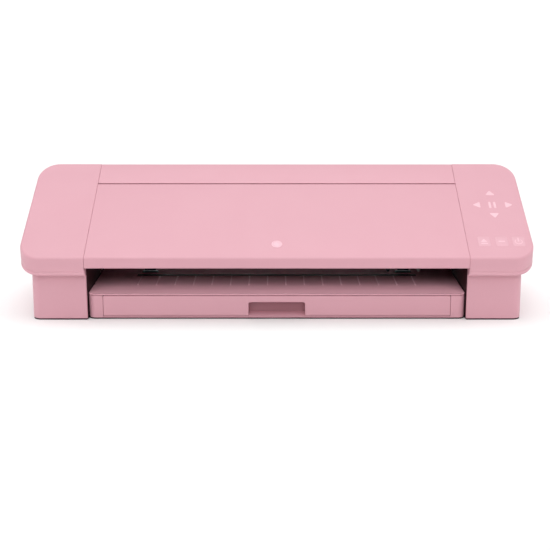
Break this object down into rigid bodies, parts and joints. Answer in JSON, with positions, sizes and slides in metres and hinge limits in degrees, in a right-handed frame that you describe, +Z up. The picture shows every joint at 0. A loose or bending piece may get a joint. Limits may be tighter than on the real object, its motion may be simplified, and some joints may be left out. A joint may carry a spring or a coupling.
{
  "type": "desktop electronic cutting machine",
  "caption": "Low wedge-shaped desktop die cutting machine for paper and vinyl, with a sloped flip-up lid, overhanging side covers, a front media opening and a pull-out roll drawer.",
  "frame": {"origin": "on the table, below the middle of the machine's width and depth", "axes": "+X to the user's right, +Y to the rear, +Z up; the front opening faces -Y"},
  "size_m": [0.57, 0.195, 0.1536],
  "materials": {
    "pink_shell": "satin moulded",
    "inner_plastic": "fine moulded texture",
    "rubber_feet_and_rollers": "matt",
    "white_plastic": "satin",
    "badge_plastic": "polished",
    "circuit_board": "lacquered",
    "motor_case": "black oxide",
    "steel": "zinc plated",
    "aluminium": "satin anodised",
    "brass": "machined"
  },
  "bodies": {
    "chassis": {"base_pan": "inner_plastic", "foot_front_left": "rubber_feet_and_rollers", "foot_front_right": "rubber_feet_and_rollers", "foot_rear_left": "rubber_feet_and_rollers", "foot_rear_right": "rubber_feet_and_rollers", "left_end_housing": "pink_shell", "right_end_housing": "pink_shell", "left_wing_cover": "pink_shell", "right_wing_cover": "pink_shell", "rear_top_strip": "pink_shell", "rear_cover": "pink_shell", "cutting_platform": "pink_shell", "cutting_strip": "inner_plastic", "drawer_apron": "pink_shell", "lid_hinge_pin_left": "steel", "lid_hinge_pin_right": "steel", "touch_sensor_board": "circuit_board", "left_side_frame": "steel", "right_side_frame": "steel", "shaft_bearing_left": "brass", "shaft_bearing_right": "brass", "carriage_rail": "aluminium", "feed_motor_bracket": "steel", "feed_motor": "motor_case", "carriage_motor": "motor_case", "idler_bracket": "steel", "carriage_belt": "rubber_feet_and_rollers", "main_board": "circuit_board", "power_inlet": "inner_plastic", "usb_port": "inner_plastic"},
    "lid": {"lid_cover": "pink_shell", "lid_badge": "badge_plastic"},
    "roll_drawer": {"drawer_front": "pink_shell", "drawer_tray": "inner_plastic"},
    "front_roll_rod": {"roll_rod_front": "rubber_feet_and_rollers"},
    "rear_roll_rod": {"roll_rod_rear": "rubber_feet_and_rollers"},
    "left_roll_guide": {"roll_guide_left": "white_plastic"},
    "right_roll_guide": {"roll_guide_right": "white_plastic"},
    "drive_roller": {"drive_shaft": "steel", "drive_gear": "white_plastic"},
    "feed_pinion": {"motor_pinion": "brass"},
    "pinch_assembly": {"pinch_bar": "steel", "pinch_arm_left": "inner_plastic", "pinch_arm_right": "inner_plastic"},
    "left_pinch_roller": {"pinch_roller_left": "rubber_feet_and_rollers"},
    "right_pinch_roller": {"pinch_roller_right": "rubber_feet_and_rollers"},
    "loading_lever": {"load_lever": "white_plastic"},
    "carriage": {"carriage_body": "inner_plastic", "belt_clamp": "aluminium", "carriage_cover": "white_plastic"},
    "tool_clamp_1": {"plunger_1": "inner_plastic", "blade_cartridge": "aluminium"},
    "tool_lock_tab_1": {"tool_lock_1": "badge_plastic"},
    "tool_clamp_2": {"plunger_2": "inner_plastic", "tool_adapter": "white_plastic"},
    "tool_lock_tab_2": {"tool_lock_2": "badge_plastic"},
    "carriage_motor_pulley": {"motor_pulley": "aluminium"},
    "carriage_idler_pulley": {"idler_pulley": "aluminium"}
  },
  "joints": [
    {"name": "lid_hinge", "type": "hinge", "parent": "chassis", "child": "lid", "pos_m": [0, 0.01963, 0.12963], "axis": [-1, 0, 0], "range_deg": [0, 95]},
    {"name": "drawer_slide", "type": "slide", "parent": "chassis", "child": "roll_drawer", "axis": [0, -1, 0], "range_m": [0, 0.055]},
    {"name": "front_roll_rod_spin", "type": "hinge", "parent": "roll_drawer", "child": "front_roll_rod", "pos_m": [0, -0.056, 0.0135], "axis": [1, 0, 0], "continuous": true},
    {"name": "rear_roll_rod_spin", "type": "hinge", "parent": "roll_drawer", "child": "rear_roll_rod", "pos_m": [0, -0.024, 0.0135], "axis": [1, 0, 0], "continuous": true},
    {"name": "left_roll_guide_slide", "type": "slide", "parent": "roll_drawer", "child": "left_roll_guide", "axis": [1, 0, 0], "range_m": [0, 0.12]},
    {"name": "right_roll_guide_slide", "type": "slide", "parent": "roll_drawer", "child": "right_roll_guide", "axis": [-1, 0, 0], "range_m": [0, 0.12]},
    {"name": "drive_roller_spin", "type": "hinge", "parent": "chassis", "child": "drive_roller", "pos_m": [0, 0.02, 0.0215], "axis": [1, 0, 0], "continuous": true},
    {"name": "feed_pinion_spin", "type": "hinge", "parent": "chassis", "child": "feed_pinion", "pos_m": [-0.221, 0.031, 0.04055], "axis": [1, 0, 0], "continuous": true},
    {"name": "load_lever_hinge", "type": "hinge", "parent": "chassis", "child": "loading_lever", "pos_m": [-0.202, 0.03, 0.066], "axis": [1, 0, 0], "range_deg": [0, 50]},
    {"name": "pinch_lift", "type": "hinge", "parent": "chassis", "child": "pinch_assembly", "pos_m": [0, 0.042, 0.044], "axis": [-1, 0, 0], "range_deg": [0, 8]},
    {"name": "left_pinch_roller_spin", "type": "hinge", "parent": "pinch_assembly", "child": "left_pinch_roller", "pos_m": [-0.152, 0.02, 0.0368], "axis": [1, 0, 0], "continuous": true},
    {"name": "right_pinch_roller_spin", "type": "hinge", "parent": "pinch_assembly", "child": "right_pinch_roller", "pos_m": [0.152, 0.02, 0.0368], "axis": [1, 0, 0], "continuous": true},
    {"name": "carriage_slide", "type": "slide", "parent": "chassis", "child": "carriage", "axis": [-1, 0, 0], "range_m": [0, 0.3]},
    {"name": "motor_pulley_spin", "type": "hinge", "parent": "chassis", "child": "carriage_motor_pulley", "pos_m": [0.235, 0.054, 0.093], "axis": [0, 0, 1], "continuous": true},
    {"name": "idler_pulley_spin", "type": "hinge", "parent": "chassis", "child": "carriage_idler_pulley", "pos_m": [-0.235, 0.054, 0.093], "axis": [0, 0, 1], "continuous": true},
    {"name": "tool_1_plunge", "type": "slide", "parent": "carriage", "child": "tool_clamp_1", "axis": [0, 0, -1], "range_m": [0, 0.0035], "stiffness_N_per_m": 150, "springref_m": -0.01},
    {"name": "tool_1_lock_pull", "type": "slide", "parent": "tool_clamp_1", "child": "tool_lock_tab_1", "axis": [0, -1, 0], "range_m": [0, 0.004]},
    {"name": "tool_2_plunge", "type": "slide", "parent": "carriage", "child": "tool_clamp_2", "axis": [0, 0, -1], "range_m": [0, 0.0035], "stiffness_N_per_m": 150, "springref_m": -0.01},
    {"name": "tool_2_lock_pull", "type": "slide", "parent": "tool_clamp_2", "child": "tool_lock_tab_2", "axis": [0, -1, 0], "range_m": [0, 0.004]}
  ],
  "couplings": [
    {"joint": "feed_pinion_spin", "follows": "drive_roller_spin", "ratio": -2.6667},
    {"joint": "left_pinch_roller_spin", "follows": "drive_roller_spin", "ratio": -1.1429},
    {"joint": "right_pinch_roller_spin", "follows": "drive_roller_spin", "ratio": -1.1429},
    {"joint": "pinch_lift", "follows": "load_lever_hinge", "ratio": 0.16},
    {"joint": "motor_pulley_spin", "follows": "carriage_slide", "rad_per_m": -112.36},
    {"joint": "idler_pulley_spin", "follows": "carriage_slide", "rad_per_m": -112.36}
  ]
}
